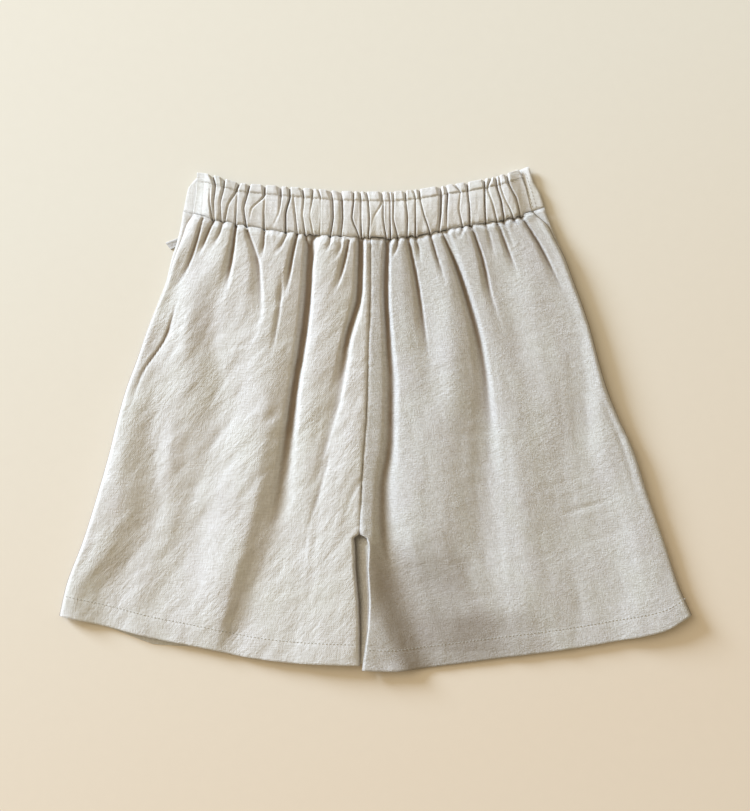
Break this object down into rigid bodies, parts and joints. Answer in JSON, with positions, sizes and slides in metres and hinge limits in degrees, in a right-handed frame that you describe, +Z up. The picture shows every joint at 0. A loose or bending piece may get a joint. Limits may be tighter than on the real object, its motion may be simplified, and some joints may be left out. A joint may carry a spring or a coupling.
{
  "type": "linen shorts",
  "caption": "Wide elastic-waist linen shorts lying flat on their front, gathered casing with a ruffled heading at the back, turned-up hems and a drawstring end at one side.",
  "frame": {"origin": "middle of the bounding box, on the surface that the shorts lie on", "axes": "+X towards the wearer's right leg, +Y from the hems to the waist, +Z up from the surface; the back of the shorts faces up"},
  "size_m": [0.5986, 0.4774, 0.0138],
  "materials": {
    "back_left": "natural linen, plain weave",
    "back_right": "natural linen, plain weave",
    "front_left": "natural linen, plain weave",
    "front_right": "natural linen, plain weave",
    "waistband_back": "natural linen, gathered over elastic",
    "waistband_front": "natural linen, plain weave",
    "tie": "flat linen drawstring"
  },
  "bodies": {
    "root": {"back_left": "back_left", "back_right": "back_right", "front_left": "front_left", "front_right": "front_right", "waistband_back": "waistband_back", "waistband_front": "waistband_front", "tie": "tie"}
  },
  "joints": []
}
